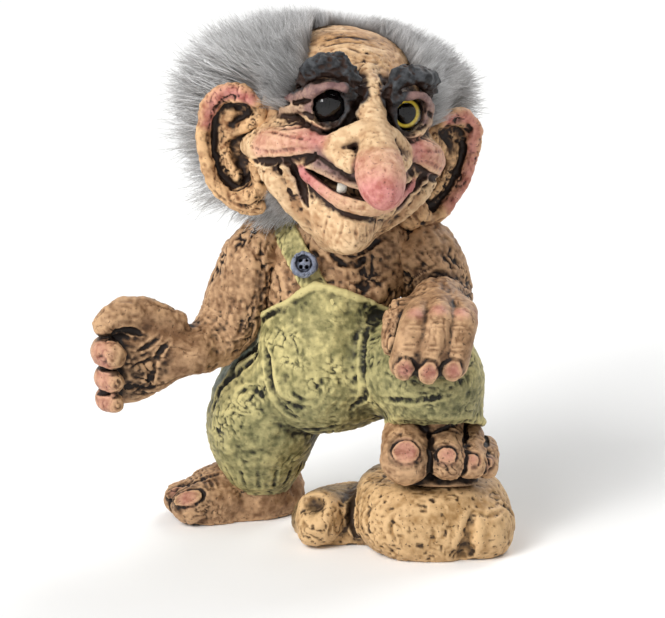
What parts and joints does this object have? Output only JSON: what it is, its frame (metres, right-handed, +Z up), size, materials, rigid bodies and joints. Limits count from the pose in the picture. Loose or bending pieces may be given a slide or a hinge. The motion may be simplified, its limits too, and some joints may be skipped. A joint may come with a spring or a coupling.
{
  "type": "folk troll figure",
  "caption": "Standing folk troll of moulded rubber with a fur wig and glass eyes, in dungarees, with one bare foot on a stone, one hand on its knee and the other held out.",
  "frame": {"origin": "on the ground, under the middle of the whole figure's box", "axes": "+Z up, +X to the viewer's right, -Y towards the viewer"},
  "size_m": [0.1759, 0.1343, 0.2234],
  "materials": {
    "skin_rubber": "moulded latex rubber, dark stain in the hollows, dry-brushed tan on top",
    "cloth_rubber": "moulded latex rubber painted olive, dark stain in the hollows",
    "stone_rubber": "moulded latex rubber painted ochre and speckled",
    "button_rubber": "moulded latex rubber painted slate blue",
    "tooth_enamel": "glossy ivory paint",
    "eye_glass": "polished domed glass",
    "iris_paint": "amber ring round a black pupil",
    "steel_wire": "drawn wire",
    "wig_leather": "thin grey hide that the fur grows from",
    "wig_fur": "long silvery grey pile"
  },
  "bodies": {
    "root": {"rock": "stone_rubber", "foot_pin": "steel_wire", "dungarees": "cloth_rubber", "torso": "skin_rubber", "shoulder_strap": "cloth_rubber", "strap_button": "button_rubber", "head": "skin_rubber", "tooth": "tooth_enamel", "right_arm": "skin_rubber", "left_arm": "skin_rubber", "right_foot": "skin_rubber", "left_foot": "skin_rubber", "right_ear": "skin_rubber", "left_ear": "skin_rubber", "right_eye_glass": "eye_glass", "left_eye_glass": "eye_glass", "right_iris": "iris_paint", "left_iris": "iris_paint", "right_eye_stem": "steel_wire", "left_eye_stem": "steel_wire", "wig_hide": "wig_leather", "wig_fur": "wig_fur"}
  },
  "joints": []
}
